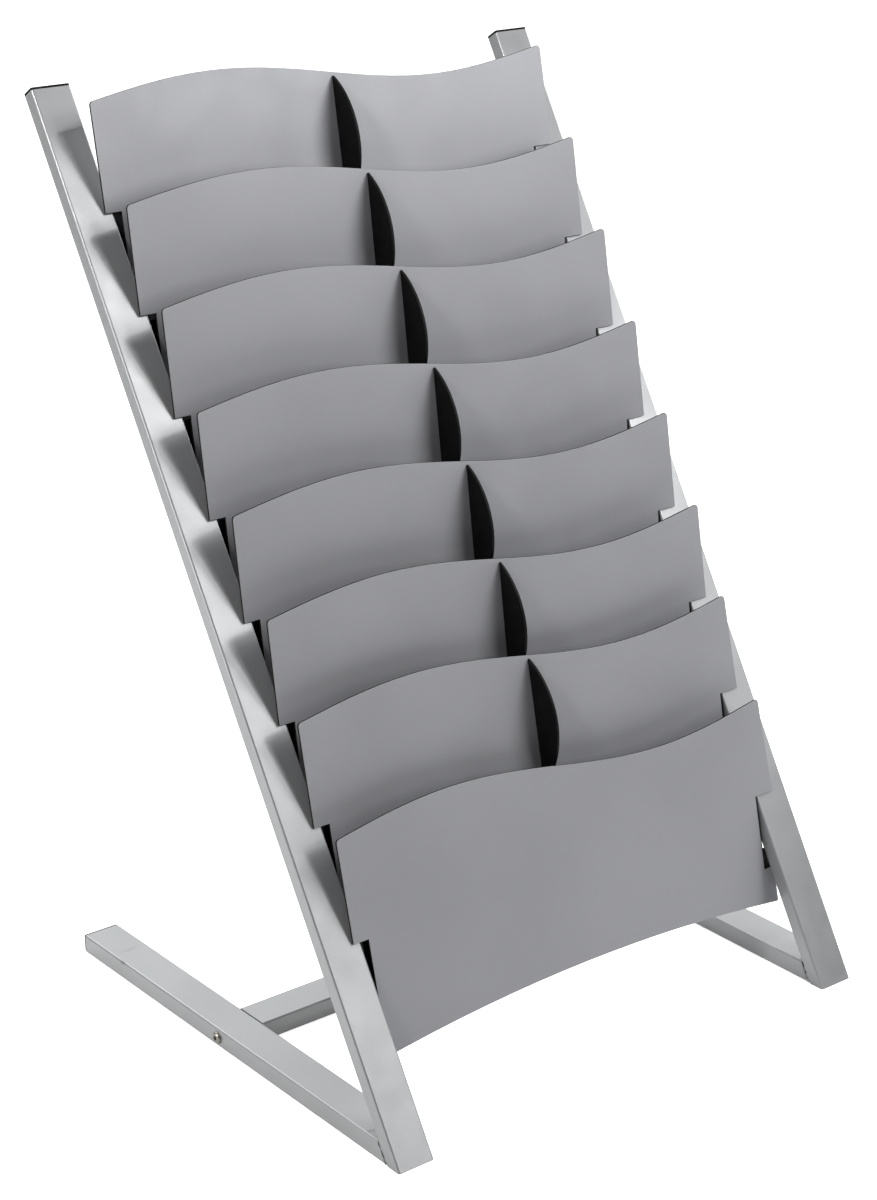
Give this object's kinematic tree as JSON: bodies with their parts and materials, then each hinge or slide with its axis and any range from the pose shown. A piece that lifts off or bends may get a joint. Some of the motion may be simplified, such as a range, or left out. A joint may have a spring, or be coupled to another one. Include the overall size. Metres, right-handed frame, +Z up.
{
  "type": "newspaper rack",
  "caption": "Free-standing newspaper rack: leaning tube uprights on floor feet carry stepped wavy panels, with pocket trays and a centre divider in each pocket.",
  "frame": {"origin": "on the floor, at the centre of the bounding box seen from above", "axes": "+X to the reader's right as they face the rack, +Y from the front to the rear ends of the feet, +Z up"},
  "size_m": [0.7286, 0.6784, 1.1107],
  "materials": {
    "silver_paint": "satin silver powder coat",
    "panel_grey": "satin metallic grey sheet",
    "black_plastic": "satin black moulded plastic",
    "tray_black": "matte black plastic",
    "zinc_steel": "zinc-plated steel",
    "weld_metal": "painted weld bead with cracked paint"
  },
  "bodies": {
    "root": {"left_upright": "silver_paint", "left_upright_top_cap": "black_plastic", "left_upright_bottom_plug": "black_plastic", "left_foot": "silver_paint", "left_foot_rear_cap": "black_plastic", "left_foot_weld": "weld_metal", "left_crossbar_bolt": "zinc_steel", "left_crossbar_end_nut": "zinc_steel", "left_top_panel_bracket": "tray_black", "left_top_bracket_screw": "zinc_steel", "left_tray_1_screw": "zinc_steel", "left_tray_2_screw": "zinc_steel", "left_tray_3_screw": "zinc_steel", "left_tray_4_screw": "zinc_steel", "left_tray_5_screw": "zinc_steel", "left_tray_6_screw": "zinc_steel", "left_tray_7_screw": "zinc_steel", "right_upright": "silver_paint", "right_upright_top_cap": "black_plastic", "right_upright_bottom_plug": "black_plastic", "right_foot": "silver_paint", "right_foot_rear_cap": "black_plastic", "right_foot_weld": "weld_metal", "right_crossbar_bolt": "zinc_steel", "right_crossbar_end_nut": "zinc_steel", "right_top_panel_bracket": "tray_black", "right_top_bracket_screw": "zinc_steel", "right_tray_1_screw": "zinc_steel", "right_tray_2_screw": "zinc_steel", "right_tray_3_screw": "zinc_steel", "right_tray_4_screw": "zinc_steel", "right_tray_5_screw": "zinc_steel", "right_tray_6_screw": "zinc_steel", "right_tray_7_screw": "zinc_steel", "crossbar": "silver_paint", "panel_1": "panel_grey", "panel_2": "panel_grey", "panel_3": "panel_grey", "panel_4": "panel_grey", "panel_5": "panel_grey", "panel_6": "panel_grey", "panel_7": "panel_grey", "panel_8": "panel_grey", "pocket_tray_1": "tray_black", "divider_1": "black_plastic", "pocket_tray_2": "tray_black", "divider_2": "black_plastic", "pocket_tray_3": "tray_black", "divider_3": "black_plastic", "pocket_tray_4": "tray_black", "divider_4": "black_plastic", "pocket_tray_5": "tray_black", "divider_5": "black_plastic", "pocket_tray_6": "tray_black", "divider_6": "black_plastic", "pocket_tray_7": "tray_black", "divider_7": "black_plastic"}
  },
  "joints": []
}
